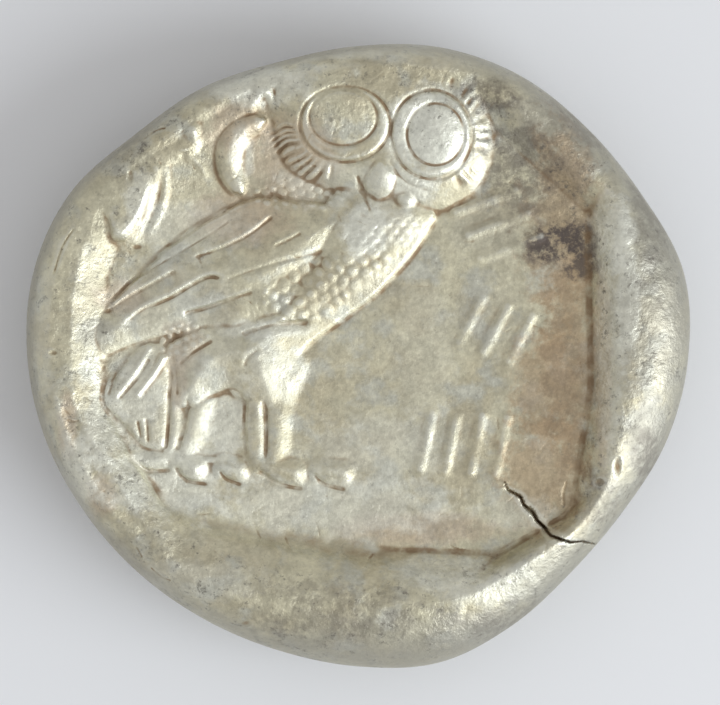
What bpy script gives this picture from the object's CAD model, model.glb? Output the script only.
# A struck silver tetradrachm of the Athenian type, lying owl side up.
#
# The coin is one closed mesh. Its two sides are worked out here in millimetres, as heights over a
# square grid bent round to the coin's outline: the forms of its solid, with finer work and wear on
# them. The grid is cut finely only where the relief needs it.

import math

import bpy
import numpy as np
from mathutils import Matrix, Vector


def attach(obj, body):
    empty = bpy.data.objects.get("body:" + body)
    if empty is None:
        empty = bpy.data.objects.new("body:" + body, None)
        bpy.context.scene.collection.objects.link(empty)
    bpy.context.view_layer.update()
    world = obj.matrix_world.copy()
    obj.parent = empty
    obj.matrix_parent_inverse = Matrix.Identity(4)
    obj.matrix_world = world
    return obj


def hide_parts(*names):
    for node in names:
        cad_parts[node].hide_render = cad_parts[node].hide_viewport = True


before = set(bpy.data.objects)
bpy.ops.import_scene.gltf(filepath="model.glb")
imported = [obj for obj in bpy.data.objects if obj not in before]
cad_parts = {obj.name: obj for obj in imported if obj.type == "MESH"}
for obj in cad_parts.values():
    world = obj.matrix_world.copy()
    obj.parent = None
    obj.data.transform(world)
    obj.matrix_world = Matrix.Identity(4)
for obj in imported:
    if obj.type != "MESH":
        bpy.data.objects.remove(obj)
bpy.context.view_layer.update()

MM = 0.001

# ------ the flan

# Radius of the outline every 15 degrees, counter-clockwise from +X.
OUTLINE_RADII = [
    12.45, 12.7, 12.35, 12.25, 12.3, 12.15, 11.8, 11.6, 11.8, 11.95, 12.55, 12.7,
    12.5, 12.2, 11.85, 11.6, 11.45, 11.45, 11.65, 11.9, 11.65, 11.4, 11.55, 12.05,
]
# How far in from the outline the edge starts to round over, every 45 degrees from +X.
TOP_ROUNDING = [2.5, 1.7, 0.9, 1, 1, 1.2, 2.4, 2.3]
UNDER_ROUNDING = [2.2, 2, 2, 2.1, 2.2, 2, 2.3, 2.2]

# Level of the rim's top, every 45 degrees from +X.
RIM_LEVELS = [5.48, 5.38, 5.1, 4.98, 5.36, 5.44, 5.5, 5.5]
FIELD_LEVEL = 4.38
EDGE_LEVEL = 3
EDGE_WANDER = 0.16
OBVERSE_LEVEL = 1.1
OBVERSE_BOWL = 0.55

# The walls of the square: which way each faces out, how far its foot is from the middle,
# and how wide its slope is.
SQUARE_WALLS = [
    (180, 9.42, 1.35), (160, 9.9, 1.25), (212, 8.9, 1.2), (236, 8, 3), (259, 6.8, 2.9),
    (268, 7.15, 2.1), (300, 9, 0.9), (322, 9.75, 0.8), (351, 8.8, 1.6), (1, 8.72, 1.5),
    (48, 9.8, 2.6), (90, 9.95, 1.8), (122, 9.85, 0.9), (143, 10.6, 0.9),
]
CORNER_SHARPNESS = 5
# Going left from the first of these x to the second, the walls turn straight with a crisp top.
CRISP_WALLS = (-7, -9)
# Below the owl, going left in the same way, the wall's foot turns into a soft climb.
SOFT_FOOT = (3, -2.5)
SOFT_FOOT_SHARE = 1 / 3
# The floor climbs or dips with the square of the distance: (towards, from, share).
FLOOR_CLIMBS = [(180, -1, 0.0026), (115, 6.5, 0.03), (270, 3, -0.009)]
# A fold in the rim's metal, left by the strike.
RIM_FOLD = {
    "path": [(-11.2, -1.4), (-10.8, -3.1), (-9.95, -4.6), (-8.9, -5.9), (-7.6, -7.2)],
    "drop": 0.11, "width": 1.3, "step": 0.45,
}
RIM_SPUR = {"lip": (0.08, 0.16), "body": (0.46, 0.8), "outline": [
    (-9.63, 5.41), (-9.4, 4.51), (-9.03, 4.32), (-8.65, 4.4), (-8.24, 4.88), (-7.94, 5.56),
    (-7.79, 6.24), (-7.64, 7.21), (-7.26, 7.81), (-6.7, 7.7), (-6.28, 7.81), (-6.1, 8.57), (-5.61, 9.39),
    (-7.49, 9.81), (-9.59, 8), (-10.6, 6.61),
]}

# ------ the owl

# A raised form has a short steep lip round its outline, then a long soft swell: (height, width).
WING = {"lip": (0.15, 0.24), "body": (0.62, 2.6), "outline": [
    (-0.05, 5.7), (-2.2, 5.95), (-4, 6.05), (-6, 5.1), (-7.4, 4.05), (-8.35, 3.15), (-9.8, 1.6),
    (-10.75, 1.35), (-10.7, 0.75), (-9.8, 0.05), (-8.6, 0.45), (-7, 0.85), (-5.55, 0.92), (-4.9, 0.56),
    (-3.7, 0.62), (-1.8, 0.95), (-1.2, 2.6), (-0.3, 4.6),
]}
WING_FADE = {"from": (-2, 3.6), "to": (-10.6, 1), "to_share": 0.55}
BODY = {"lip": (0.11, 0.16), "body": (0.55, 2.6), "outline": [
    (2.92, 5.5), (2.72, 4.88), (2.33, 4.25), (1.79, 3.55), (0.69, 2.37), (-0.66, 1.36), (-1.93, 0.38),
    (-2.19, -0.3), (-2.45, -1.05), (-3.05, -1.95), (-3.9, -1.84), (-4.6, -1.5), (-4.9, -1.28),
    (-5.46, -1.5), (-5.9, -1.85), (-7, -1.8), (-7.07, -0.45), (-7.1, 0.6), (-4, 2.5), (-0.8, 6.4),
    (2, 6.6),
]}
HEAD = {"lip": (0.05, 0.34), "body": (0.64, 1.8), "outline": [
    (-3.3, 9.8), (-3.15, 8.4), (-2.7, 7.2), (-1.5, 6.5), (0.2, 5.9), (1.8, 5.35), (3.2, 5.55),
    (4.5, 6.35), (5.05, 7.7), (5, 9.2), (4.4, 10.6), (0.8, 11.4), (-2.3, 11),
]}
HEAD_FILLET = 0.5
EYES = [
    {"ring": ((-0.51, 8.79), (1.7, 1.43)), "ball": ((-0.57, 9.04), (1.28, 1.06)), "bulge": 0.05},
    {"ring": ((2.75, 8.4), (1.52, 1.67)), "ball": ((2.89, 8.4), (1.08, 1.17)), "bulge": 0.16},
]
EYE_PLATE = {"rise": 0.06, "edge": 0.16}
EYE_GROOVE = {"half": 0.075, "depth": 0.08}
EYE_DISH = 0.035
BEAK = {"lip": (0.06, 0.14), "body": (0.2, 0.6), "outline": [
    (0.82, 7.45), (0.4, 7.05), (0.18, 6.55), (0.36, 5.95), (0.66, 5.35), (1, 5.8), (1.32, 6.4),
    (1.36, 6.95),
]}
BEAK_CREASE = ([(-0.05, 6.95), (0.12, 6.25), (0.5, 5.45)], 0.15, 0.07)
CHEEK_TUFT = {"at": (1.76, 5.84), "half": (0.42, 0.36), "height": 0.22}
CHEEK_ARC = [(1.12, 7.55), (1.45, 6.95), (2.05, 6.45), (2.75, 6.3)]
# (eye, first and last degree, inner and outer end in radii of the eye's ring, rays in a turn, depth)
FACE_RAYS = [(0, (172, 262), (1.1, 1.74), 46, 0.075), (1, (-66, 84), (1.08, 1.52), 31, 0.045)]
RAY_END_FADE = 10  # degrees at each end of the sector
RAY_INNER_FADE = 0.06  # in radii of the eye's ring
RAY_OUTER_FADE = 0.22
RAY_SWAY = 5
RAY_SWAY_HILLS = (0.7, 31)  # size and seed, here and below
RAY_DEPTH = 0.75
RAY_WEAR = 0.8
RAY_WEAR_HILLS = (0.5, 32)
RAY_SINK = 0.2

# Feathers lie like shingles: each path is the lower edge of one, and the next drops away below it.
# (path, drop, width over which it climbs back)
FEATHER_LAPS = [
    ([(-3.15, 5.45), (-4.02, 4.72), (-5.17, 4.14), (-6.3, 3.78)], 0.085, 0.9),
    ([(-2.1, 4.75), (-2.68, 4.42), (-3.2, 4.2)], 0.045, 0.6),
    ([(-6.8, 3.35), (-7.5, 2.95), (-8.75, 2.25), (-9.6, 1.65)], 0.1, 0.7),
    ([(-5.1, 3.02), (-5.6, 3.08), (-6.2, 2.82), (-7.05, 2.32), (-8.05, 1.88), (-9, 1.15)], 0.1, 0.8),
    ([(-3.88, 2.55), (-4.9, 2.2), (-5.8, 1.9), (-6.6, 1.7)], 0.08, 0.6),
    ([(-1.8, 1.39), (-3.05, 1.31), (-4.52, 0.94)], 0.09, 0.45),
]
LAP_STEP = 0.1
LAP_FADE = 0.12  # share of a feather's edge over which each end fades
CUT_FADE = 0.15  # and of a cut line
# (path, drop, width, width of its step)
SHOULDER = ([(-0.05, 5.75), (-0.2, 4.75), (-1.2, 4.12), (-2.56, 3.4), (-3.7, 2.85)], 0.1, 1.7, 0.6)
WING_GROOVES = [
    [(-1.2, 4.05), (-3.2, 3.55), (-5.2, 2.85)],
    [(-4.6, 5.3), (-5.9, 4.45), (-7.6, 3.45), (-8.9, 2.7)],
    [(-4.3, 6.1), (-5, 5.52), (-5.76, 5.11), (-6.51, 4.58), (-7.3, 4.1)],
    [(-5.1, 2.98), (-5.6, 3.04), (-6.2, 2.76), (-7.05, 2.26), (-8, 1.82)],
    [(-6.6, 1.66), (-5.8, 1.86), (-4.9, 2.16)],
    [(-7.4, 3.9), (-8.3, 3.1), (-9.45, 2.05)],
]
WING_GROOVE = (0.08, 0.065)  # half width and depth, as for every cut below

SCALE_AREA = [
    (-3.55, 2.75), (-1.93, 3.72), (-0.6, 4.4), (-0.05, 5.18), (0.44, 5.33), (2.65, 5.37), (2.2, 4.66),
    (1.3, 3.55), (0.15, 2.5), (-0.6, 1.84), (-1.4, 1.36), (-3.05, 1.36), (-3.75, 2),
]
BEADS = {"pitch": 0.5, "turn": 42, "half": 0.25, "height": 0.04, "stretch": 1}
DASHES = {"pitch": 0.3, "turn": 2, "half": 0.15, "height": 0.032, "stretch": 1.6}
DASHES_ABOVE = 4.15
DASHES_FADE = 0.5
BEAD_FULLNESS = 2.2
BEAD_ROW_SHARE = 0.87  # of the pitch, from row to row
BEAD_WANDER = 0.22  # of the pitch
BEAD_WANDER_HILLS = [(0.9, 41), (0.9, 42)]
BEAD_SIZES = 0.12
BEAD_WEAR = (0.45, 0.8, 43)  # share, size of its hills and seed
PATTERN_FADE = 0.22
NECK_AREA = [
    (-4.55, 6.45), (-3.8, 5.7), (-2.8, 5.35), (-1.6, 5.35), (-0.6, 5.7), (-0.3, 6.2), (-1.4, 6.6),
    (-2.7, 6.95), (-3.6, 6.55),
]
NAPE = {"pitch": 0.36, "turn": -22, "half": 0.17, "height": 0.045, "stretch": 1.1}
WORN_PATCH = [(-7.2, 1.2), (-6.2, 1.45), (-5.4, 0.95), (-6, 0.4), (-7, -0.1), (-7.6, 0.5)]
WORN_LUMPS = {"pitch": 0.33, "turn": 25, "half": 0.17, "height": 0.06, "stretch": 1}

# Ridges: (path, half width and height at its first and last point)
LEG_RIDGES = [
    ([(-6.86, -0.9), (-6.92, -2), (-7, -2.9), (-7.12, -3.7)], (0.5, 0.44), (0.17, 0.12)),
    ([(-5.95, -1.45), (-6.22, -2.6), (-6.6, -3.85)], (0.74, 0.64), (0.18, 0.14)),
    ([(-3.95, -1.3), (-3.86, -2.78), (-3.84, -3.8)], (0.66, 0.7), (0.24, 0.16)),
    ([(-2.55, -0.2), (-2.95, -1.4), (-3.06, -2.6), (-3.18, -3.8)], (0.86, 0.64), (0.22, 0.17)),
]
GROUND_LINE = ([(-6.02, -3.82), (-4, -3.84)], (0.14, 0.14), (0.08, 0.08))
LEG_GROOVES = [
    [(-6.98, -0.4), (-7.1, -1.6), (-7.18, -2.8), (-7.22, -3.5)],
    [(-6.4, -1.5), (-6.52, -2.6), (-6.8, -3.5)],
    [(-4.26, -1.5), (-4.3, -2.6), (-4.22, -3.75)],
    [(-3.55, -1.5), (-3.48, -2.6), (-3.5, -3.75)],
]
# (path, half width, height)
TOES = [
    ([(-8.8, -3.45), (-8.1, -3.8), (-7.3, -3.78)], 0.42, 0.18),
    ([(-6.75, -3.75), (-6.18, -4.1)], 0.6, 0.27),
    ([(-5.05, -4.05), (-4.5, -4.18)], 0.52, 0.23),
    ([(-3.6, -3.95), (-3, -4.15), (-2.4, -4.3)], 0.54, 0.24),
    ([(-1.45, -4.2), (-1.05, -4.25), (-0.6, -4.3)], 0.52, 0.23),
]
TOE_CREST = 0.25  # how round the crest is, as a share of the half width
TOE_CUTS = [
    [(-6.9, -4.05), (-6.5, -4.58), (-5.6, -4.76)],
    [(-5.25, -4.2), (-4.97, -4.54), (-4.35, -4.8)],
    [(-3.8, -4.15), (-3.08, -4.72), (-2, -4.94)],
    [(-1.7, -4.32), (-1.3, -4.74), (-0.4, -4.98)],
    [(-8.75, -3.6), (-8.02, -4.22), (-7, -4.22)],
]
TOE_CUT = (0.12, 0.08)
TAIL = {"lip": (0.09, 0.2), "body": (0.1, 0.9), "outline": [
    (-7.1, 0.4), (-7.03, -0.75), (-7.02, -2.1), (-7.2, -3.35), (-7.95, -3.38), (-8.5, -2.9), (-9, -2.35),
    (-9.6, -1.75), (-9.55, -1.1), (-9.1, -0.4), (-8.6, 0.1), (-8, 0.6),
]}
# (path, half width, width of its shoulders, height)
TAIL_FINGERS = [
    ([(-7.85, 0.35), (-8.5, -0.6), (-9.1, -1.4)], 0.34, 0.34, 0.21),
    ([(-7.35, 0), (-7.75, -0.65), (-8.3, -1.35)], 0.36, 0.36, 0.29),
]
TAIL_GROOVES = [
    [(-7.8, 0.05), (-8.35, -0.8), (-9.05, -1.6)],
    [(-8.6, 0), (-9.15, -0.7), (-9.42, -1.5)],
    [(-7.95, -2.2), (-7.9, -3.25)],
    [(-8.3, -2.3), (-8.15, -3.1)],
]
TAIL_GROOVE = (0.11, 0.09)
THIGH_CREASES = [
    [(-3.75, 0.35), (-4.15, 0), (-4.27, -0.35)],
    [(-6.1, -1.75), (-5.6, -1.45), (-4.9, -1.15), (-4.5, -1.28), (-4.28, -1.7)],
    [(-7.02, 0.2), (-6.85, -0.6), (-6.8, -1.5)],
    [(-5.4, 0.7), (-6.2, 0.2), (-6.8, -0.3)],
]
THIGH_CREASE = (0.13, 0.08)

# ------ round the owl

SPRIG_RIDGES = [
    ([(-7.62, 7.05), (-7.9, 6.2), (-8.3, 5.3), (-8.65, 4.6)], (0.46, 0.62), (0.17, 0.1)),
    ([(-7.3, 7.2), (-7.26, 6.4), (-7.42, 5.6), (-7.85, 4.75)], (0.26, 0.24), (0.09, 0.05)),
    ([(-6.2, 8.5), (-6.15, 8.1), (-6.35, 7.75)], (0.42, 0.34), (0.17, 0.09)),
    ([(-6.36, 7.62), (-5.95, 7.25), (-5.75, 6.85)], (0.26, 0.2), (0.08, 0.03)),
    ([(-9.21, 5.03), (-9.14, 4.51)], (0.2, 0.16), (0.2, 0.12)),
    ([(-4.05, 9.4), (-3.7, 9.92), (-3.42, 9.98)], (0.34, 0.36), (0.12, 0.17)),
    ([(-3.42, 9.98), (-3.2, 9.6), (-3.15, 9.1)], (0.36, 0.26), (0.17, 0.06)),
]
CRESCENT = {"path": [(-3.62, 8.9), (-4.4, 8.5), (-4.82, 7.85), (-4.8, 7), (-4.42, 6.3)],
            "half": 0.56, "height": 0.26, "tip_width": 0.36, "tip_height": 0.7}

# (middle of the row, its heading, pitch, heading of each stroke, length, count)
STROKE_ROWS = [
    ((5.25, 5.05), -62, 0.98, 20, 2.4, 3), ((5.15, 1.1), -20, 1, 62, 1.9, 3),
    ((3.95, -3.2), -4, 0.94, 78, 2.15, 4),
]
STROKE = {"half": 0.3, "edge": 0.28, "height": 0.07}
# Wear, as how much more or less is left of a form: (share, size of the hills it varies over, seed)
STROKE_WEAR = (0.45, 0.7, 61)
RIDGE_WEAR = (0.22, 0.6, 62)
CRACK = [
    (5.5, -4.65), (5.62, -4.95), (5.9, -5.1), (6.1, -5.22), (6.22, -5.52), (6.55, -5.78), (6.72, -6.1),
    (6.98, -6.35), (7.2, -6.65), (7.55, -6.78), (7.96, -6.91), (8.4, -6.88), (8.9, -7), (9.6, -7.05),
]
CRACK_HALF = 0.06
CRACK_TIP_HALF = 0.35  # share of it left at the ends
CRACK_WIDE_END = 1.25  # above 1, it is widest before its middle
CRACK_WANDER = (0.35, 0.22, 51)
CRACK_DEPTH = 0.36
CRACK_TIP_DEPTH = 0.3
CRACK_STEEPNESS = 1.6
FISSURES = [
    [(7.85, -4.6), (7.72, -5.1), (7.76, -5.6)],
    [(-10.95, -2.3), (-10.7, -2.38), (-10.45, -2.32)],
    [(-10.65, 4.9), (-11.1, 4.2), (-11.45, 3.1)],
    [(-8.35, -7.05), (-8.2, -7.3), (-8.1, -7.5)],
    [(-7.85, -7.8), (-7.4, -8.2), (-7, -8.35)],
    [(-8.1, 8.2), (-7.6, 8.55), (-7.2, 8.65)],
]
FISSURE = (0.07, 0.06)
# Short nicks and scratches of long wear, scattered from a seed.
NICKS = {"count": 220, "seed": 71, "reach": 11.4, "area": (0.1, 1), "length": (0.15, 0.8), "bend": 0.25}
NICK = (0.055, 0.014)
# (middle, half width and height, depth)
PITS = [
    ((9.72, -4.05), (0.16, 0.4), 0.09), ((9.05, -4.65), (0.2, 0.16), 0.08),
    ((-11.45, 0.2), (0.2, 0.12), 0.06), ((-4.25, -9.95), (0.26, 0.16), 0.06),
    ((-8.55, 6.85), (0.14, 0.26), 0.06), ((-8.32, 4.18), (0.24, 0.14), 0.04),
]

# ------ the head side's figures

FACE_THIRD = 3.1
CHIN_LINE = -5.3
NOSE_LINE = CHIN_LINE + FACE_THIRD
BROW_LINE = NOSE_LINE + FACE_THIRD
VISOR_LINE = BROW_LINE + FACE_THIRD
PROFILE = {"edge": 0.8, "height": 1.3, "outline": [
    (0.4, -8.6), (1.1, CHIN_LINE), (3.4, CHIN_LINE - 0.3), (4.7, CHIN_LINE + 0.2),
    (4.5, CHIN_LINE + 1.1), (5.1, NOSE_LINE - 1.3), (5.1, NOSE_LINE - 0.6), (4.9, NOSE_LINE),
    (6.1, NOSE_LINE + 0.35), (5.1, BROW_LINE), (4.95, VISOR_LINE), (-4, VISOR_LINE), (-6.2, 0.5),
    (-5.2, -4), (-6, -8.2),
]}
BOWL = {"at": (-0.9, 3.3), "half": (6.1, 5), "edge": 1.1, "height": 1.45}
CREST = {"centre": (-0.9, 3.3), "radius": 5.9, "arc": (20, 200), "half": 0.95, "height": 1,
         "tip": 0.06, "tip_height": 0.6}
CURLS = {"from": (4.2, 3.1), "to": (-1.4, 1), "count": 8, "half": 0.46, "height": 0.3}
EAR_STUD = {"at": (-0.6, -2.4), "half": (0.8, 0.8), "height": 0.55}
# Visor, cheek and eye: (path, half width and depth at its first and last point)
FACE_GROOVES = [
    ([(4.8, VISOR_LINE), (1.4, 2.3), (-1.6, 1.9), (-5.2, 2.9)], (0.3, 0.3), (0.55, 0.55)),
    ([(-1.7, 0.9), (-1.3, -2.2), (0.6, -5)], (0.3, 0.3), (0.6, 0.6)),
    ([(2.7, BROW_LINE - 0.85), (3.5, BROW_LINE - 0.65), (4.4, BROW_LINE - 0.85)], (0.3, 0.3), (0.4, 0.4)),
]
WORN_FLAT = 0.2  # the skin fades out this close to the floor

# ------ wear and the metal's skin

STRIKE_SOFTNESS = 0.045  # how far the striking and wear blur the masses
DETAIL_SOFTNESS = 0.028  # and the fine cuts
BLUR_REACH = 3  # a blur reaches this many times its spread
NOISE_CELLS = 64
NOISE_TURN = (0.8, 0.6)  # cosine and sine, so that the cells of noise lie askew
# Hills left by hammering, flow and wear: (size, height, seed)
FIELD_SKIN = [(2.6, 0.03, 11), (1.05, 0.01, 12), (0.42, 0.004, 13), (0.21, 0.0022, 14)]
RIM_SKIN = [(1.9, 0.07, 21), (0.8, 0.032, 22), (0.36, 0.013, 23), (0.2, 0.005, 24)]

# Toning gathers where the metal lies below its blurred self: (spread of the blur, full depth)
TONING_DEPTHS = [(0.09, 0.012), (0.45, 0.6)]

# ------ the mesh

OWL_SIDE, HEAD_SIDE = 0, 1
GRID = 512  # cells along the side of the finest grid, a power of two
ROW = GRID + 1  # points along it
DEEPEST = 2 * int(math.log2(GRID))  # halvings from a whole side to one cell
EDGE_STEP = 2  # the outline is always cut at every second of those cells
TOLERANCES = np.array([0.0024, 0.01])  # how far a facet may stray, on each side
TINY = 1e-12

# ------ the metal's colours

SILVER = (0.655, 0.617, 0.455, 1)
WARM_SILVER = (0.575, 0.525, 0.375, 1)
COOL_SILVER = (0.6, 0.59, 0.49, 1)
GREY_SILVER = (0.42, 0.405, 0.345, 1)
BRIGHT_SILVER = (0.84, 0.84, 0.735, 1)
BROWN_TONING = (0.3, 0.21, 0.125, 1)
ORANGE_TONING = (0.5, 0.37, 0.23, 1)
TAN_TONING = (0.6, 0.49, 0.36, 1)
DARK_STAIN = (0.145, 0.12, 0.105, 1)
GREY_SPECK = (0.2, 0.185, 0.155, 1)

# Places on the owl side: (middle, half width and height, strength)
GREY_AREAS = [
    ((10.9, 2.5), (1.7, 5.5), 0.6), ((7.6, 8.4), (2.6, 1.9), 0.55), ((-6.5, -8), (3, 1.6), 0.12),
    ((10.9, -3.4), (1.1, 2.4), 0.75), ((7.6, -8.3), (2.8, 1.5), 0.6), ((2, -10.6), (5.5, 1.1), 0.45),
    ((-9.9, 0.9), (0.8, 0.7), 0.6), ((0.4, 2.6), (1.4, 0.9), 0.25), ((5.2, -10.2), (2.8, 1), 0.55),
    ((9.8, -5.8), (1, 1.6), 0.45), ((4.9, 4.8), (1.6, 1.3), 0.26), ((4.9, 1.8), (1.3, 1.6), 0.2),
    ((2.9, -3), (1.5, 1), 0.28),
]
TAN_AREAS = [
    ((-2.4, 7.4), (1.9, 1.9), 0.65), ((-6.6, 0.4), (0.9, 1.1), 0.65), ((-4.6, 5.2), (2.2, 1.1), 0.65),
    ((2.2, -6.5), (3.4, 0.7), 0.65), ((-4.6, 8.6), (1.3, 1.2), 0.65), ((-10.9, -2.6), (0.4, 1.5), 0.65),
    ((-9.6, -5.2), (0.7, 1), 0.65), ((-6.8, -0.9), (0.4, 1.3), 0.65), ((-8.9, 2.2), (1.2, 0.7), 0.65),
    ((9.2, -0.4), (0.35, 4.6), 0.65),
]
# Where rubbing keeps the metal bright.
BRIGHT_AREAS = [
    ((2.9, 8.3), (1.7, 1.9), 0.95), ((4.7, 7.6), (0.7, 1.9), 0.15), ((-3.2, -0.6), (1.3, 1.4), 0.4),
    ((4.8, -8.6), (2.2, 1), 0.4), ((1.3, 4.7), (1.3, 0.8), 0.4), ((-8.1, 5.9), (0.7, 1.2), 0.6),
    ((-4.4, 7.6), (0.5, 1.1), 0.5), ((2.4, 0.2), (1.4, 3.2), 0.15), ((0.8, -3.4), (3, 1.4), 0.35),
    ((-7.2, -4.6), (3, 1.6), 0.6), ((-5, -2.6), (1, 1.3), 0.55), ((-8.2, -1.2), (1, 1.6), 0.45),
    ((9.4, 0.4), (0.5, 5.5), 0.45), ((0.9, 6.2), (0.8, 1), 0.4), ((-7, -1), (3.5, 5.5), 0.3),
    ((-1, -5.6), (5, 1.3), 0.5), ((-1, 6.5), (2.2, 1), 0.4), ((0.2, 4.7), (0.9, 1.2), 0.85),
    ((9.5, 4.6), (0.9, 1.6), 0.65), ((-4, 10.2), (2.4, 0.9), 0.7), ((2, 6.4), (1.2, 0.9), 0.7),
    ((-10.6, -4.6), (0.9, 1.6), 0.6), ((-6, -8.4), (2.6, 0.8), 0.3), ((-9.6, -2.6), (0.9, 2), 0.6),
    ((-3.6, 1), (2, 0.4), 0.6), ((3.2, -8.2), (2.2, 0.8), 0.5), ((6, -5.9), (1.6, 0.7), 0.3),
    ((-6.5, 4.9), (3, 1), 0.35), ((10.1, 2.6), (0.5, 3.4), 0.55), ((1.6, 8.2), (0.8, 1.5), 0.5),
    ((-10.1, 1.8), (0.7, 3.4), 0.12),
]
ORANGE_AREAS = [
    ((7.7, 5), (1.5, 4.2), 0.62), ((7.9, 0), (1.1, 4.8), 0.62), ((7, -4.4), (1.8, 2.4), 0.62),
    ((7, -1.2), (1.4, 2.2), 0.62),
]
# (middle, half width and height, raggedness, strength)
STAINS = [
    ((7.55, 4.25), (1.55, 1.05), 1.1, 1), ((6.2, 6.9), (1.8, 2), 2.2, 0.5),
    ((4.9, 9.7), (1.3, 0.8), 2, 0.65), ((7.8, -0.8), (0.9, 4.6), 3, 0.2),
    ((10.8, -3.8), (0.7, 1.4), 2.2, 0.4), ((8.2, 6.2), (0.8, 1.4), 2.6, 0.3),
    ((8.6, 8.7), (1.7, 1.2), 2.6, 0.3), ((10.9, 5), (0.8, 3.6), 2.6, 0.3),
    ((-0.5, -9.5), (3.6, 1.2), 2.8, 0.34), ((-8, -7.1), (1.4, 1.6), 2.8, 0.16),
    ((-8.6, 7.6), (1.4, 1.6), 2.8, 0.24), ((0, 11), (3.4, 0.6), 2.4, 0.12),
    ((9.1, -5.2), (0.9, 1.2), 2.6, 0.34), ((5.6, -9.8), (2.2, 0.8), 2.8, 0.34),
    ((8.2, 3.55), (0.85, 0.8), 1.8, 0.85), ((6.1, 6.3), (0.9, 0.6), 2, 0.6),
]
# How ragged the edges of each kind are.
GREY_RAGGED, TAN_RAGGED, ORANGE_RAGGED, BRIGHT_RAGGED = 1.6, 1.2, 2.4, 1.6

# Clouds that vary the metal: noise (size, detail, roughness) and a ramp over it (its low and high end,
# and what it runs from and to where that isn't 0 and 1).
CLOUDS = {
    "warm": ((2.4,), (0.38, 0.62)),
    "cool": ((1.3, 4), (0.5, 0.68)),
    "fine_mottle": ((0.2, 4, 0.65), (0.3, 0.7, 0.9, 1.08)),
    "broad_mottle": ((0.75, 5, 0.7), (0.34, 0.66, 0.88, 1.09)),
    "speckle": ((0.26, 5, 0.72), (0.57, 0.7)),
    "fine_grime": ((0.32, 6, 0.8), (0.54, 0.64)),
    "broad_grime": ((1.3, 3), (0.44, 0.58)),
    "stain": ((0.5, 6, 0.7), (0.36, 0.56)),
    "toning": ((0.8, 3), (0.36, 0.62, 0.12, 0.92)),
    "roughness": ((0.8, 5, 0.6), (0.3, 0.7, 0.4, 0.56)),
}
# Borders: how far noise pushes a value, and where between two values of it the metal changes.
RIM = {"noise": (1.8, 2), "push": 1, "ramp": (9.9, 11.3)}  # distance from the middle
EDGE = {"noise": (0.9, 4), "push": 0.35, "ramp": (0.36, 0.82)}  # how far rolled over
DEEP = {"noise": (0.6, 4), "push": 0.8, "ramp": (0.65, 2.2)}  # how sunk
SPOT = {"noise": (0.7, 6, 0.65), "ramp": (1.15, 0.55)}  # distance in its own radii
PROUD = (-0.45, -1.9)
# How strongly each covers the metal; the rim adds its own share of speckle.
SPECKLE_SHARE, RIM_SPECKLE_SHARE, RIM_GRIME_SHARE = 0.3, 0.5, 0.75
EDGE_GREY_SHARE, PROUD_SHARE = 0.68, 0.42
# What each adds to the roughness.
DEEP_ROUGHNESS, PROUD_ROUGHNESS, STAIN_ROUGHNESS = 0.16, -0.08, 0.12
METALLIC = 0.92
# Bumps: (noise, height), and the height of lumps that the rim adds.
GRAIN = ((0.12, 5, 0.65), 0.016)
LUMPS = ((0.42, 4, 0.6), 0.027)
RIM_LUMPS = 0.04

# ------ floor, light and camera, in metres

FLOOR_HALF = 1.5
FLOOR_GAP = 0.00002
FLOOR_COLOUR = (0.82, 0.825, 0.835, 1)
FLOOR_ROUGHNESS = 0.6
SKY_COLOUR = (0.83, 0.83, 0.84, 1)
SKY_STRENGTH = 0.715
KEY_LIGHT = {"place": (0.26, -0.13, 0.15), "size": 0.28, "power": 0.89, "colour": (0.9, 0.95, 1)}
CAMERA_PLACE = (0.066 * MM, 0.131 * MM, 300 * MM)
CAMERA_LENS = 393
CAMERA_CLIP = 0.01

# ------ small shape functions

def mix(a, b, t):
    return a + (b - a) * t


def ease(t):
    t = np.clip(t, 0, 1)
    return t * t * (3 - 2 * t)


def swell(t):
    return np.sin(np.clip(t, 0, 1) * np.pi / 2)


def hump(t):
    return np.clip(1 - t * t, 0, None)


def around(ring, angle):
    """Value at an angle of a closed ring of evenly spaced values, joined by a smooth curve."""
    ring = np.asarray(ring)
    turn = (angle / (2 * np.pi)) % 1 * len(ring)
    k = np.floor(turn).astype(int)
    t = turn - k
    before, here, ahead, beyond = (ring[(k + i) % len(ring)] for i in (-1, 0, 1, 2))
    slope_here = (ahead - before) / 2
    slope_next = (beyond - here) / 2
    rise = ahead - here
    cubic = slope_here + slope_next - 2 * rise
    square = 3 * rise - 2 * slope_here - slope_next
    return here + t * (slope_here + t * (square + t * cubic))


def curve(points, closed=False, cuts=4):
    """A smooth curve through a few points, as short straight stretches."""
    points = np.asarray(points, float)
    count = len(points)
    steps = np.arange(0, count if closed else count - 1, 1 / cuts)
    if not closed:
        steps = np.append(steps, count - 1)
    k = np.floor(steps).astype(int)
    t = (steps - k)[:, None]

    def at(i):
        return points[i % count] if closed else points[np.clip(i, 0, count - 1)]

    p0, p1, p2, p3 = at(k - 1), at(k), at(k + 1), at(k + 2)
    bend = 2 * p0 - 5 * p1 + 4 * p2 - p3
    twist = 3 * p1 - 3 * p2 + p3 - p0
    return p1 + t / 2 * (p2 - p0 + t * (bend + t * twist))


def noise(x, y, size, seed):
    """Smooth random hills from -1 to 1, about size across."""
    cells = NOISE_CELLS
    table = np.random.default_rng(seed).uniform(-1, 1, (cells, cells))
    c, s = NOISE_TURN
    u, v = (x * c - y * s) / size, (x * s + y * c) / size
    i, j = np.floor(u).astype(int), np.floor(v).astype(int)
    across, up = ease(u - i), ease(v - j)
    low = mix(table[i % cells, j % cells], table[(i + 1) % cells, j % cells], across)
    high = mix(table[i % cells, (j + 1) % cells], table[(i + 1) % cells, (j + 1) % cells], across)
    return mix(low, high, up)


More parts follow.
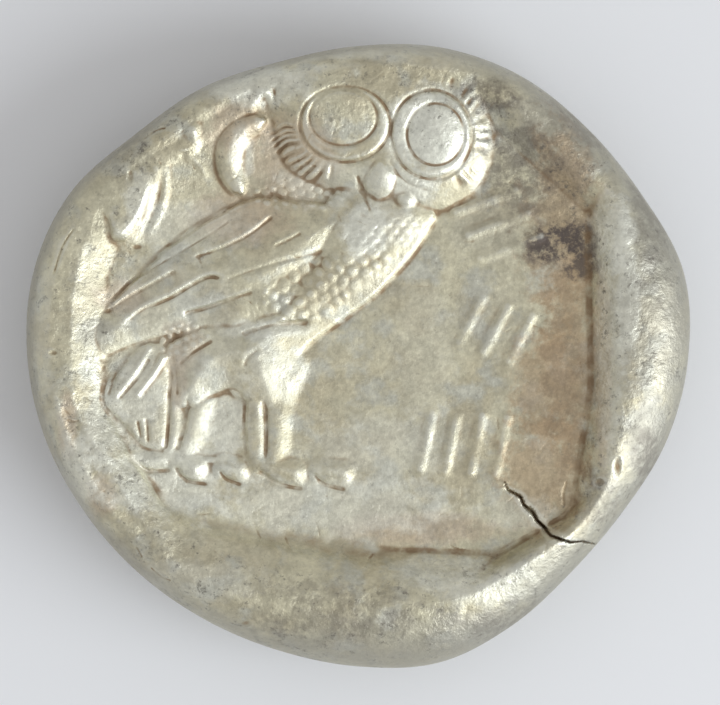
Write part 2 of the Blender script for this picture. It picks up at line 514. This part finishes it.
def uneven(x, y, share, size, seed):
    """About 1, more or less by a share from place to place."""
    return 1 + share * noise(x, y, size, seed)


def skin(x, y, layers):
    return sum(height * noise(x, y, size, seed) for size, height, seed in layers)


def reach_towards(x, y, degrees):
    return x * math.cos(math.radians(degrees)) + y * math.sin(math.radians(degrees))


def oval_radius(at, half, x, y):
    return np.hypot((x - at[0]) / half[0], (y - at[1]) / half[1])


def dome(x, y, at, half, height):
    return height * hump(oval_radius(at, half, x, y))


def pad(x, y, at, half, edge, height):
    return height * swell((1 - oval_radius(at, half, x, y)) * min(half) / edge)


def nearest_on_path(path, x, y):
    """Distance to a path, how far along it the nearest point lies, and +1 to its left, -1 to its right."""
    distance = np.full(x.shape, np.inf)
    along = np.zeros(x.shape)
    side = np.ones(x.shape)
    for k, ((ax, ay), (bx, by)) in enumerate(zip(path, path[1:])):
        dx, dy = bx - ax, by - ay
        px, py = x - ax, y - ay
        t = np.clip((px * dx + py * dy) / (dx * dx + dy * dy), 0, 1)
        gap = np.hypot(px - t * dx, py - t * dy)
        closer = gap < distance
        distance = np.where(closer, gap, distance)
        along = np.where(closer, (k + t) / (len(path) - 1), along)
        side = np.where(closer, np.sign(dx * py - dy * px), side)
    return distance, along, side


def near_path(path, x, y, reach):
    """Which points lie in a box around a path."""
    (left, low), (right, high) = np.min(path, axis=0) - reach, np.max(path, axis=0) + reach
    return (x > left) & (x < right) & (y > low) & (y < high)


def along_path(x, y, path, reach, profile):
    """Heights near a smooth path, from a profile of the distance, the share along it and the side."""
    out = np.zeros(x.shape)
    path = curve(path)
    near = near_path(path, x, y, reach)
    out[near] = profile(*nearest_on_path(path, x[near], y[near]))
    return out


def ends_faded(along, share):
    """1 along a path, easing to 0 over a share of it at each end."""
    return ease(np.minimum(along, 1 - along) / share)


def ridge(x, y, path, half, height):
    """A soft-footed ridge whose half width and height run from a first to a last value."""
    def profile(distance, along, _):
        return mix(*height, along) * hump(distance / mix(*half, along)) ** 2

    return along_path(x, y, path, max(half), profile)


def bar(x, y, path, half, edge, height):
    """A low flat-topped ridge with soft shoulders."""
    return along_path(x, y, path, half, lambda distance, *_: height * ease((half - distance) / edge))


def toe(x, y, path, half, height):
    """A low ridge with straight sides and a rounded crest."""
    def profile(distance, *_):
        return height * np.clip(1 - np.hypot(distance / half, TOE_CREST), 0, 1)

    return along_path(x, y, path, half, profile)


def cut_line(x, y, path, half, depth):
    """A shallow V cut that fades at both ends."""
    def profile(distance, along, _):
        return depth * np.clip(1 - distance / half, 0, 1) * ends_faded(along, CUT_FADE)

    return along_path(x, y, path, half, profile)


def lap(x, y, path, drop, width, step=LAP_STEP):
    """The step down below a feather's edge; the surface climbs back within the width."""
    def profile(distance, along, side):
        below = distance * side
        fall = ease(below / step + 0.5) * ease(1 - below / width)
        return drop * fall * ends_faded(along, LAP_FADE) * (distance < width)

    return along_path(x, y, path, width, profile)


def crescent(x, y, path, half, height, tip_width, tip_height):
    """A bow that is fullest in its middle."""
    def profile(distance, along, _):
        fullness = mix(tip_width, 1, np.sqrt(4 * along * (1 - along)))
        return height * mix(tip_height, 1, fullness) * hump(distance / (half * fullness))

    return along_path(x, y, path, half, profile)


def horned_arc(x, y, centre, radius, arc, half, height, tip, tip_height):
    """An arc of a circle, between two angles, that is fullest in its middle."""
    dx, dy = x - centre[0], y - centre[1]
    along = np.clip((np.degrees(np.arctan2(dy, dx)) % 360 - arc[0]) / (arc[1] - arc[0]), 0, 1)
    end = np.radians(mix(*arc, along))
    distance = np.hypot(dx - radius * np.cos(end), dy - radius * np.sin(end))
    fullness = np.sqrt(np.maximum(tip, 4 * along * (1 - along)))
    return height * mix(tip_height, 1, fullness) * hump(distance / (half * fullness))


def depth_inside(outline, x, y):
    """Depth inside a smooth closed outline: positive inside it, negative outside."""
    path = curve(outline, closed=True)
    path = np.append(path, path[:1], axis=0)
    depth = np.full(x.shape, -np.inf)
    near = near_path(path, x, y, 0)
    px, py = x[near], y[near]
    distance, _, _ = nearest_on_path(path, px, py)
    inside = np.zeros(px.shape, bool)
    for (ax, ay), (bx, by) in zip(path, path[1:]):
        if ay != by:
            inside ^= ((ay > py) != (by > py)) & (px < ax + (bx - ax) * (py - ay) / (by - ay))
    depth[near] = np.where(inside, distance, -distance)
    return depth


def panel(x, y, outline, edge, height):
    return height * swell(depth_inside(outline, x, y) / edge)


def mound(x, y, outline, lip, body):
    depth = depth_inside(outline, x, y)
    return lip[0] * swell(depth / lip[1]) + body[0] * swell(depth / body[1])


def blurred(height, spread):
    """Heights blurred over about a spread, in millimetres, across the grid."""
    cells = max(1, round(spread * GRID / (2 * np.mean(OUTLINE_RADII))))
    reach = BLUR_REACH * cells
    weights = np.exp(-0.5 * (np.arange(-reach, reach + 1) / cells) ** 2)
    weights /= weights.sum()
    for axis in (0, 1):
        margins = [(reach, reach) if a == axis else (0, 0) for a in (0, 1)]
        padded = np.pad(height, margins, "edge")
        size = height.shape[axis]
        height = sum(w * np.take(padded, np.arange(k, k + size), axis) for k, w in enumerate(weights))
    return height


def stepped(place, length, heading):
    """The place a length away from another, in a direction."""
    return place[0] + length * math.cos(heading), place[1] + length * math.sin(heading)


# ------ the owl side

def square_walls(x, y):
    """0 on the square's floor and 1 on the rim, easing up the walls."""
    total = np.zeros(x.shape)
    for facing, foot, slope in SQUARE_WALLS:
        out = reach_towards(x, y, facing)
        total += np.clip((out - foot) / slope, 0, None) ** CORNER_SHARPNESS
    climbed = total ** (1 / CORNER_SHARPNESS)
    start, end = SOFT_FOOT
    soft = ease((x - start) / (end - start)) * (y < 0)
    climbed = climbed * mix(1, ease(climbed / SOFT_FOOT_SHARE), soft)
    start, end = CRISP_WALLS
    return mix(swell(climbed), np.clip(climbed, 0, 1), ease((x - start) / (end - start)))


def floor_level(x, y):
    level = np.full(x.shape, FIELD_LEVEL)
    for towards, start, share in FLOOR_CLIMBS:
        level += share * np.clip(reach_towards(x, y, towards) - start, 0, None) ** 2
    return level


def square_bed(x, y):
    floor = floor_level(x, y)
    rim = around(RIM_LEVELS, np.arctan2(y, x))
    bed = mix(floor, rim, square_walls(x, y))
    return np.maximum(bed, np.minimum(rim, floor + mound(x, y, **RIM_SPUR)))


def wing(x, y):
    (sx, sy), (tx, ty) = WING_FADE["from"], WING_FADE["to"]
    reach = ((x - sx) * (tx - sx) + (y - sy) * (ty - sy)) / ((tx - sx) ** 2 + (ty - sy) ** 2)
    share = mix(1, WING_FADE["to_share"], np.clip(reach, 0, 1))
    return share * mound(x, y, **WING)


def strokes(x, y):
    height = np.zeros(x.shape)
    for place, along, pitch, lean, length, count in STROKE_ROWS:
        for k in range(count):
            middle = stepped(place, (k - (count - 1) / 2) * pitch, math.radians(along))
            path = [stepped(middle, end * length / 2, math.radians(lean)) for end in (1, -1)]
            height = np.maximum(height, bar(x, y, path, **STROKE))
    return height * uneven(x, y, *STROKE_WEAR)


def filleted(a, b, fillet):
    """The higher of two surfaces, with a soft fillet where they meet."""
    meet = np.clip(1 - np.abs(a - b) / fillet, 0, None)
    return np.maximum(a, b) + meet * meet * fillet / 4


def head(x, y):
    return mound(x, y, **HEAD) + mound(x, y, **BEAK) + dome(x, y, **CHEEK_TUFT)


def masses(x, y):
    """The bed and the bodies of the figures, before any fine work is cut into them."""
    floor = floor_level(x, y)
    bed = square_bed(x, y)
    face = head(x, y)
    bed = np.where(face > 0, filleted(bed, floor + face, np.minimum(face, HEAD_FILLET)), bed)
    parts = [wing(x, y), strokes(x, y), crescent(x, y, **CRESCENT)]
    parts += [mound(x, y, **one) for one in (BODY, TAIL)]
    wear = uneven(x, y, *RIDGE_WEAR)
    parts += [wear * ridge(x, y, *one) for one in [*LEG_RIDGES, *SPRIG_RIDGES, GROUND_LINE]]
    parts += [bar(x, y, *one) for one in TAIL_FINGERS]
    parts += [toe(x, y, *one) for one in TOES]
    return np.maximum(bed, floor + np.maximum.reduce(parts))


def eye_work(x, y, ring, ball, bulge):
    """What an eye adds: a flat raised ring between two fine grooves, and a domed ball."""
    at_ring, at_ball = oval_radius(*ring, x, y), oval_radius(*ball, x, y)
    from_ring = (at_ring - 1) * min(ring[1])
    from_ball = (at_ball - 1) * min(ball[1])
    plate = EYE_PLATE["rise"] * ease(-from_ring / EYE_PLATE["edge"])
    grooves = hump(from_ring / EYE_GROOVE["half"]) + hump(from_ball / EYE_GROOVE["half"])
    dish = EYE_DISH * ease(-from_ball / EYE_GROOVE["half"])
    return plate - EYE_GROOVE["depth"] * grooves - dish + bulge * hump(at_ball)


def face_rays(x, y):
    """Fine feathers that fan out round the eyes."""
    out = np.zeros(x.shape)
    wear = RAY_DEPTH + RAY_WEAR * noise(x, y, *RAY_WEAR_HILLS)
    sway = RAY_SWAY * noise(x, y, *RAY_SWAY_HILLS)
    for eye, (first, last), (inner, outer), count, depth in FACE_RAYS:
        at, half = EYES[eye]["ring"]
        q = oval_radius(at, half, x, y)
        angle = np.degrees(np.arctan2((y - at[1]) / half[1], (x - at[0]) / half[0]))
        turn = (angle - first) % 360
        in_sector = ease(turn / RAY_END_FADE) * ease((last - first - turn) / RAY_END_FADE)
        in_band = ease((q - inner) / RAY_INNER_FADE) * ease((outer - q) / RAY_OUTER_FADE)
        wave = np.cos(np.radians(angle) * count + sway)
        out += depth * wear * in_sector * in_band * (wave - RAY_SINK)
    return out


def lattice(x, y, pitch, turn, half, height, stretch):
    """Round beads, or longer dashes where stretched, staggered row by row."""
    a = math.radians(turn)
    x = x + BEAD_WANDER * pitch * noise(x, y, *BEAD_WANDER_HILLS[0])
    y = y + BEAD_WANDER * pitch * noise(x, y, *BEAD_WANDER_HILLS[1])
    u = (x * math.cos(a) + y * math.sin(a)) / (pitch * stretch)
    v = (y * math.cos(a) - x * math.sin(a)) / (pitch * BEAD_ROW_SHARE)
    row = np.round(v)
    column = np.round(u - row % 2 / 2) + row % 2 / 2
    distance = np.hypot((u - column) * pitch, (v - row) * pitch * BEAD_ROW_SHARE)
    size = 1 + BEAD_SIZES * np.sin(37 * row + 71 * column)
    return uneven(x, y, *BEAD_WEAR) * height * ease(BEAD_FULLNESS * (1 - distance / (half * size)))


def patch(x, y, outline, pattern):
    """A pattern that fades out towards its outline."""
    return ease(depth_inside(outline, x, y) / PATTERN_FADE) * pattern


def scales(x, y):
    upper = ease((y - DASHES_ABOVE) / DASHES_FADE + 0.5)
    return patch(x, y, SCALE_AREA, mix(lattice(x, y, **BEADS), lattice(x, y, **DASHES), upper))


def fine_work(x, y):
    """What is cut into or raised on the masses."""
    out = sum(eye_work(x, y, **one) for one in EYES) + face_rays(x, y) + scales(x, y)
    nape = patch(x, y, NECK_AREA, lattice(x, y, **NAPE))
    out += nape + patch(x, y, WORN_PATCH, lattice(x, y, **WORN_LUMPS))
    out -= cut_line(x, y, *BEAK_CREASE) + cut_line(x, y, CHEEK_ARC, *WING_GROOVE)
    out -= sum(lap(x, y, *one) for one in [*FEATHER_LAPS, SHOULDER])
    out -= sum(cut_line(x, y, path, *TOE_CUT) for path in [*TOE_CUTS, *LEG_GROOVES])
    out -= sum(cut_line(x, y, path, *WING_GROOVE) for path in WING_GROOVES)
    out -= sum(cut_line(x, y, path, *WING_GROOVE) for path, _, _ in FEATHER_LAPS)
    out -= sum(cut_line(x, y, path, *TAIL_GROOVE) for path in TAIL_GROOVES)
    out -= sum(cut_line(x, y, path, *THIGH_CREASE) for path in THIGH_CREASES)
    return out


def nicks(x, y):
    rng = np.random.default_rng(NICKS["seed"])
    out = np.zeros(x.shape)
    for _ in range(NICKS["count"]):
        far = NICKS["reach"] * math.sqrt(rng.uniform(*NICKS["area"]))
        start = stepped((0, 0), far, rng.uniform(0, 2 * math.pi))
        heading = rng.uniform(0, 2 * math.pi)
        length = rng.uniform(*NICKS["length"]) / 2
        turn = rng.uniform(-NICKS["bend"], NICKS["bend"])
        middle = stepped(start, length, heading)
        out += cut_line(x, y, [start, middle, stepped(middle, length, heading + turn)], *NICK)
    return out


def crack(x, y):
    """The crack's depth, along a path that keeps its corners."""
    out = np.zeros(x.shape)
    near = near_path(CRACK, x, y, 1)
    distance, along, _ = nearest_on_path(CRACK, x[near], y[near])
    width = mix(CRACK_TIP_HALF, 1, np.sin(np.pi * np.clip(along * CRACK_WIDE_END, 0, 1)))
    half = CRACK_HALF * width * uneven(x[near], y[near], *CRACK_WANDER)
    depth = CRACK_DEPTH * mix(CRACK_TIP_DEPTH, 1, np.sin(np.pi * along))
    out[near] = depth * ease((half - distance) / half * CRACK_STEEPNESS)
    return out


def damage(x, y):
    """The crack, fissures, nicks and pits, as depths."""
    out = crack(x, y)
    out += sum(cut_line(x, y, path, *FISSURE) for path in FISSURES)
    out += sum(dome(x, y, *one) for one in PITS)
    return out + nicks(x, y)


def owl_side(x, y):
    worn = blurred(masses(x, y), STRIKE_SOFTNESS)
    rim = square_walls(x, y)
    worn = worn + blurred(fine_work(x, y), DETAIL_SOFTNESS) * (1 - rim) - lap(x, y, **RIM_FOLD)
    return worn + mix(skin(x, y, FIELD_SKIN), skin(x, y, RIM_SKIN), rim) - damage(x, y)


# ------ the head side

def curls(x, y):
    height = np.zeros(x.shape)
    for t in np.linspace(0, 1, CURLS["count"]):
        at = (mix(CURLS["from"][0], CURLS["to"][0], t), mix(CURLS["from"][1], CURLS["to"][1], t))
        height = np.maximum(height, dome(x, y, at, (CURLS["half"], CURLS["half"]), CURLS["height"]))
    return height


def portrait(x, y):
    mass = np.maximum.reduce([panel(x, y, **PROFILE), pad(x, y, **BOWL), horned_arc(x, y, **CREST)])
    grooves = np.maximum.reduce([ridge(x, y, *one) for one in FACE_GROOVES])
    return np.maximum(0, mass + curls(x, y) + dome(x, y, **EAR_STUD) - grooves)


def head_side(x, y):
    """The lower side's heights, mirrored so that the portrait reads right from below."""
    radius = around(OUTLINE_RADII, np.arctan2(y, x))
    field = OBVERSE_LEVEL + OBVERSE_BOWL * (np.hypot(x, y) / radius) ** 2
    relief = blurred(field - portrait(-x, y), STRIKE_SOFTNESS)
    return np.maximum(0, relief + skin(x, y, FIELD_SKIN) * ease(relief / WORN_FLAT))


# ------ the closed surface

def sheet_points(side):
    """One side's points on its square grid bent round to the outline, and how far each is rolled over."""
    v, u = np.meshgrid(np.linspace(-1, 1, ROW), np.linspace(-1, 1, ROW), indexing="ij")
    dx = u * np.sqrt(1 - v * v / 2)
    dy = v * np.sqrt(1 - u * u / 2)
    reach = np.hypot(dx, dy)
    angle = np.arctan2(dy, dx)
    radius = around(OUTLINE_RADII, angle)
    rounding = around(TOP_ROUNDING if side == OWL_SIDE else UNDER_ROUNDING, angle)
    flat_share = (radius - rounding) / (radius - rounding + rounding * np.pi / 2)
    roll = np.clip((reach - flat_share) / (1 - flat_share), 0, 1) * np.pi / 2
    r = np.where(reach < flat_share, (radius - rounding) * reach / flat_share,
                 radius - rounding * (1 - np.sin(roll)))
    x, y = r * np.cos(angle), r * np.sin(angle)
    edge = EDGE_LEVEL + EDGE_WANDER * np.sin(2 * angle + 1)
    face = owl_side(x, y) if side == OWL_SIDE else head_side(x, y)
    return np.stack([x, y, mix(face, edge, 1 - np.cos(roll))], axis=-1), roll / (np.pi / 2)


def sheet_normals(points, side):
    across = np.gradient(points, axis=1)
    along = np.gradient(points, axis=0)
    normals = np.cross(across, along)
    length = np.linalg.norm(normals, axis=-1, keepdims=True)
    return normals / np.maximum(length, TINY) * (1 if side == OWL_SIDE else -1)


def sheet_toning(points, side):
    """How sunk each point is below its surroundings: 0 on open metal, above 0 where toning gathers."""
    height = points[..., 2]
    sunk = sum((blurred(height, spread) - height) / depth for spread, depth in TONING_DEPTHS)
    return sunk if side == OWL_SIDE else -sunk


def on_outline(i, j):
    return (i == 0) | (j == 0) | (i == GRID) | (j == GRID)


def point_id(side, i, j):
    """The two sheets share the points of the outline."""
    return np.where((side == HEAD_SIDE) & ~on_outline(i, j), ROW * ROW, 0) + j * ROW + i


def middles(t):
    """The grid places in the middle of the triangles' long sides."""
    return (t[:, 1] + t[:, 3]) // 2, (t[:, 2] + t[:, 4]) // 2


def corner_ids(t):
    return [point_id(t[:, 0], t[:, k], t[:, k + 1]) for k in (1, 3, 5)]


def halves(t):
    """Each triangle cut in two. A row is its sheet, its long side's ends and its square corner."""
    mi, mj = middles(t)
    first = np.stack([t[:, 0], t[:, 5], t[:, 6], t[:, 1], t[:, 2], mi, mj], axis=1)
    second = np.stack([t[:, 0], t[:, 3], t[:, 4], t[:, 5], t[:, 6], mi, mj], axis=1)
    return np.concatenate([first, second])


def first_triangles():
    """Two triangles for each side of the coin."""
    return np.array([
        [OWL_SIDE, GRID, GRID, 0, 0, GRID, 0], [OWL_SIDE, 0, 0, GRID, GRID, 0, GRID],
        [HEAD_SIDE, 0, 0, GRID, GRID, GRID, 0], [HEAD_SIDE, GRID, GRID, 0, 0, 0, GRID],
    ], dtype=np.int32)


def split_needs(points):
    """How far the surface strays from each long side's middle, as a share of what is allowed."""
    sizes = [first_triangles()]
    while len(sizes) < DEEPEST:
        sizes.append(halves(sizes[-1]))
    needs = np.zeros(2 * ROW * ROW)
    for level in reversed(sizes):
        side = level[:, 0]
        mi, mj = middles(level)
        mid = point_id(side, mi, mj)
        a, b, c = (points[ids] for ids in corner_ids(level))
        normal = np.cross(b - a, c - a)
        normal /= np.maximum(np.linalg.norm(normal, axis=1, keepdims=True), TINY)
        gap = np.abs(np.einsum("ij,ij->i", points[mid] - (a + b) / 2, normal))
        need = gap / TOLERANCES[side]
        need[on_outline(mi, mj) & (mi % EDGE_STEP == 0) & (mj % EDGE_STEP == 0)] = np.inf
        if level is not sizes[-1]:
            both = halves(level)
            inner = needs[point_id(both[:, 0], *middles(both))]
            need = np.maximum(need, inner.reshape(2, -1).max(axis=0))
        np.maximum.at(needs, mid, need)
    return needs


def thrifty_triangles(needs):
    """The fewest triangles that keep within the tolerance and meet without gaps."""
    done = []
    level = first_triangles()
    for _ in range(DEEPEST):
        split = needs[point_id(level[:, 0], *middles(level))] > 1
        done.append(level[~split])
        level = halves(level[split])
    done.append(level)
    return np.concatenate(done)


def coin_sheets():
    """Both sheets' points, with their normals, their toning and how far each point is rolled over."""
    count = 2 * ROW * ROW
    points, normals = np.zeros((count, 3)), np.zeros((count, 3))
    toning, rolled = np.zeros(count), np.zeros(count)
    j, i = np.meshgrid(np.arange(ROW), np.arange(ROW), indexing="ij")
    for side in (HEAD_SIDE, OWL_SIDE):
        sheet, roll = sheet_points(side)
        ids = point_id(side, i, j)
        points[ids] = sheet
        normals[ids] = sheet_normals(sheet, side)
        toning[ids] = sheet_toning(sheet, side) * np.clip(2 * (1 - roll), 0, 1)
        rolled[ids] = roll
    normals[point_id(OWL_SIDE, i, j)[on_outline(i, j)], 2] = 0
    return points, normals, toning, rolled


def centred(points):
    """Moved so that the box stands on the floor with its middle over the origin."""
    lowest, highest = points.min(axis=0), points.max(axis=0)
    return points - [(lowest[0] + highest[0]) / 2, (lowest[1] + highest[1]) / 2, lowest[2]]


def coin_mesh():
    points, normals, toning, rolled = coin_sheets()
    points = centred(points)
    triangles = thrifty_triangles(split_needs(points))
    used, faces = np.unique(np.stack(corner_ids(triangles), axis=1), return_inverse=True)
    faces = faces.reshape(-1, 3)

    mesh = bpy.data.meshes.new("coin_surface")
    mesh.from_pydata((points[used] * MM).tolist(), [], faces.tolist())
    mesh.polygons.foreach_set("use_smooth", np.ones(len(faces), bool))
    mesh.normals_split_custom_set_from_vertices(normals[used].tolist())
    mesh.attributes.new("sunk", "FLOAT", "POINT").data.foreach_set("value", toning[used])
    mesh.attributes.new("rolled", "FLOAT", "POINT").data.foreach_set("value", rolled[used])
    return mesh


# ------ materials

class Nodes:
    """Short ways to add and join the nodes of one material, with lengths in millimetres."""

    def __init__(self, name):
        self.material = bpy.data.materials.new(name)
        self.material.use_nodes = True
        self.tree = self.material.node_tree
        self.shader = self.tree.nodes["Principled BSDF"]
        place = self.add("TexCoord").outputs["Object"]
        self.place = self.add("VectorMath", {0: place, "Scale": 1 / MM}, operation="SCALE").outputs[0]

    def add(self, kind, inputs=None, **settings):
        node = self.tree.nodes.new("ShaderNode" + kind)
        for key, value in settings.items():
            setattr(node, key, value)
        for key, value in (inputs or {}).items():
            self.plug(value, node.inputs[key])
        return node

    def plug(self, value, socket):
        if isinstance(value, bpy.types.NodeSocket):
            self.tree.links.new(value, socket)
        else:
            socket.default_value = value

    def math(self, operation, a, b):
        return self.add("Math", {0: a, 1: b}, operation=operation).outputs[0]

    def plus(self, a, b):
        return self.math("ADD", a, b)

    def times(self, a, b):
        return self.math("MULTIPLY", a, b)

    def attribute(self, name):
        return self.add("Attribute", attribute_name=name).outputs["Fac"]

    def noise(self, size, detail=3, rough=0.55):
        inputs = {"Vector": self.place, "Scale": 1 / size, "Detail": detail, "Roughness": rough}
        return self.add("TexNoise", inputs).outputs["Fac"]

    def ramp(self, value, low, high, to_low=0, to_high=1):
        inputs = {"Value": value, "From Min": low, "From Max": high, "To Min": to_low, "To Max": to_high}
        return self.add("MapRange", inputs, interpolation_type="SMOOTHSTEP").outputs[0]

    def cloud(self, name):
        noise, ramp = CLOUDS[name]
        return self.ramp(self.noise(*noise), *ramp)

    def border(self, value, noise, push, ramp):
        return self.ramp(self.plus(value, self.times(self.noise(*noise), push)), *ramp)

    def blend(self, share, first, second, mode="MIX"):
        mixer = self.add("Mix", data_type="RGBA", blend_type=mode)
        self.plug(share, mixer.inputs[0])
        self.plug(first, mixer.inputs[6])
        self.plug(second, mixer.inputs[7])
        return mixer.outputs[2]

    def blot(self, middle, half, ragged):
        """1 in the middle of an oval and 0 outside it, with a ragged edge."""
        centred = self.add("VectorMath", {0: self.place, 1: (*middle, 0)}, operation="SUBTRACT").outputs[0]
        shares = (1 / half[0], 1 / half[1], 0)
        sized = self.add("VectorMath", {0: centred, 1: shares}, operation="MULTIPLY").outputs[0]
        radius = self.add("VectorMath", {0: sized}, operation="LENGTH").outputs["Value"]
        ragging = self.times(self.math("SUBTRACT", self.noise(*SPOT["noise"]), 0.5), ragged)
        return self.ramp(self.plus(radius, ragging), *SPOT["ramp"])


def spotted(n, colour, tint, ragged, spots):
    """The colour with a tint over it, in ragged spots."""
    for middle, half, share in spots:
        colour = n.blend(n.times(n.blot(middle, half, ragged), share), colour, tint)
    return colour


def open_colour(n):
    """Silver as it shows on open metal: toned and rubbed places, and a mottle over all."""
    colour = n.blend(n.cloud("warm"), SILVER, WARM_SILVER)
    colour = n.blend(n.cloud("cool"), colour, COOL_SILVER)
    colour = spotted(n, colour, GREY_SILVER, GREY_RAGGED, GREY_AREAS)
    colour = spotted(n, colour, TAN_TONING, TAN_RAGGED, TAN_AREAS)
    colour = spotted(n, colour, ORANGE_TONING, ORANGE_RAGGED, ORANGE_AREAS)
    colour = spotted(n, colour, BRIGHT_SILVER, BRIGHT_RAGGED, BRIGHT_AREAS)
    mottle = n.times(n.cloud("fine_mottle"), n.cloud("broad_mottle"))
    grey = n.add("CombineColor", {0: mottle, 1: mottle, 2: mottle}).outputs[0]
    return n.blend(1, colour, grey, "MULTIPLY")


def dirtied(n, colour, on_rim):
    """Grey specks all over, more of them on the rim, with grime there too."""
    speckled = n.plus(SPECKLE_SHARE, n.times(on_rim, RIM_SPECKLE_SHARE))
    colour = n.blend(n.times(n.cloud("speckle"), speckled), colour, GREY_SPECK)
    on_edge = n.border(n.attribute("rolled"), **EDGE)
    colour = n.blend(n.times(on_edge, EDGE_GREY_SHARE), colour, GREY_SILVER)
    grime = n.times(n.cloud("fine_grime"), n.cloud("broad_grime"))
    grimy = n.times(grime, n.times(on_rim, RIM_GRIME_SHARE))
    return n.blend(grimy, colour, GREY_SPECK)


def stain_share(n):
    stained = 0
    for middle, half, ragged, share in STAINS:
        stained = n.math("MAXIMUM", stained, n.times(n.blot(middle, half, ragged), share))
    return stained


def bumps(n, on_rim):
    grain = n.times(n.noise(*GRAIN[0]), GRAIN[1])
    lumps = n.times(n.noise(*LUMPS[0]), n.plus(LUMPS[1], n.times(on_rim, RIM_LUMPS)))
    height = n.times(n.plus(grain, lumps), MM)
    return n.add("Bump", {"Height": height, "Distance": 1, "Strength": 1}).outputs[0]


def silver_material():
    n = Nodes("toned_silver")
    from_middle = n.add("VectorMath", {0: n.place}, operation="LENGTH").outputs["Value"]
    on_rim = n.border(from_middle, **RIM)
    sunk = n.attribute("sunk")
    deep = n.border(sunk, **DEEP)
    proud = n.ramp(sunk, *PROUD)
    stained = stain_share(n)

    colour = dirtied(n, open_colour(n), on_rim)
    colour = n.blend(n.times(stained, n.cloud("stain")), colour, DARK_STAIN)
    colour = n.blend(n.times(deep, n.cloud("toning")), colour, BROWN_TONING)
    colour = n.blend(n.times(proud, PROUD_SHARE), colour, BRIGHT_SILVER)
    n.plug(colour, n.shader.inputs["Base Color"])

    rough = n.cloud("roughness")
    for share, more in ((deep, DEEP_ROUGHNESS), (proud, PROUD_ROUGHNESS), (stained, STAIN_ROUGHNESS)):
        rough = n.plus(rough, n.times(share, more))
    n.plug(rough, n.shader.inputs["Roughness"])

    n.plug(bumps(n, on_rim), n.shader.inputs["Normal"])
    n.shader.inputs["Metallic"].default_value = METALLIC
    return n.material


def floor_material():
    material = bpy.data.materials.new("pale_floor")
    material.use_nodes = True
    shader = material.node_tree.nodes["Principled BSDF"]
    shader.inputs["Base Color"].default_value = FLOOR_COLOUR
    shader.inputs["Roughness"].default_value = FLOOR_ROUGHNESS
    return material


# ------ the coin, floor, light and camera

def placed(name, data):
    thing = bpy.data.objects.new(name, data)
    bpy.context.scene.collection.objects.link(thing)
    return thing


def make_coin():
    coin = placed("struck_coin", coin_mesh())
    coin.data.materials.append(silver_material())
    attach(coin, "root")
    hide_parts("coin")


def make_floor():
    mesh = bpy.data.meshes.new("floor")
    corners = [(x * FLOOR_HALF, y * FLOOR_HALF, 0) for x, y in ((-1, -1), (1, -1), (1, 1), (-1, 1))]
    mesh.from_pydata(corners, [], [(0, 1, 2, 3)])
    mesh.materials.append(floor_material())
    floor = placed("floor", mesh)
    floor.location.z = -FLOOR_GAP


def make_light():
    world = bpy.data.worlds.new("studio")
    bpy.context.scene.world = world
    world.use_nodes = True
    background = world.node_tree.nodes["Background"]
    background.inputs["Color"].default_value = SKY_COLOUR
    background.inputs["Strength"].default_value = SKY_STRENGTH

    key = bpy.data.lights.new("key", "AREA")
    key.shape = "DISK"
    key.size = KEY_LIGHT["size"]
    key.energy = KEY_LIGHT["power"]
    key.color = KEY_LIGHT["colour"]
    lamp = placed("key", key)
    lamp.location = KEY_LIGHT["place"]
    lamp.rotation_euler = (-Vector(KEY_LIGHT["place"])).to_track_quat("-Z", "Y").to_euler()


def make_camera():
    data = bpy.data.cameras.new("camera")
    data.lens = CAMERA_LENS
    data.clip_start = CAMERA_CLIP
    camera = placed("camera", data)
    camera.location = CAMERA_PLACE
    bpy.context.scene.camera = camera


make_camera()
make_light()
make_floor()
make_coin()
bpy.context.scene.view_settings.view_transform = "Standard"
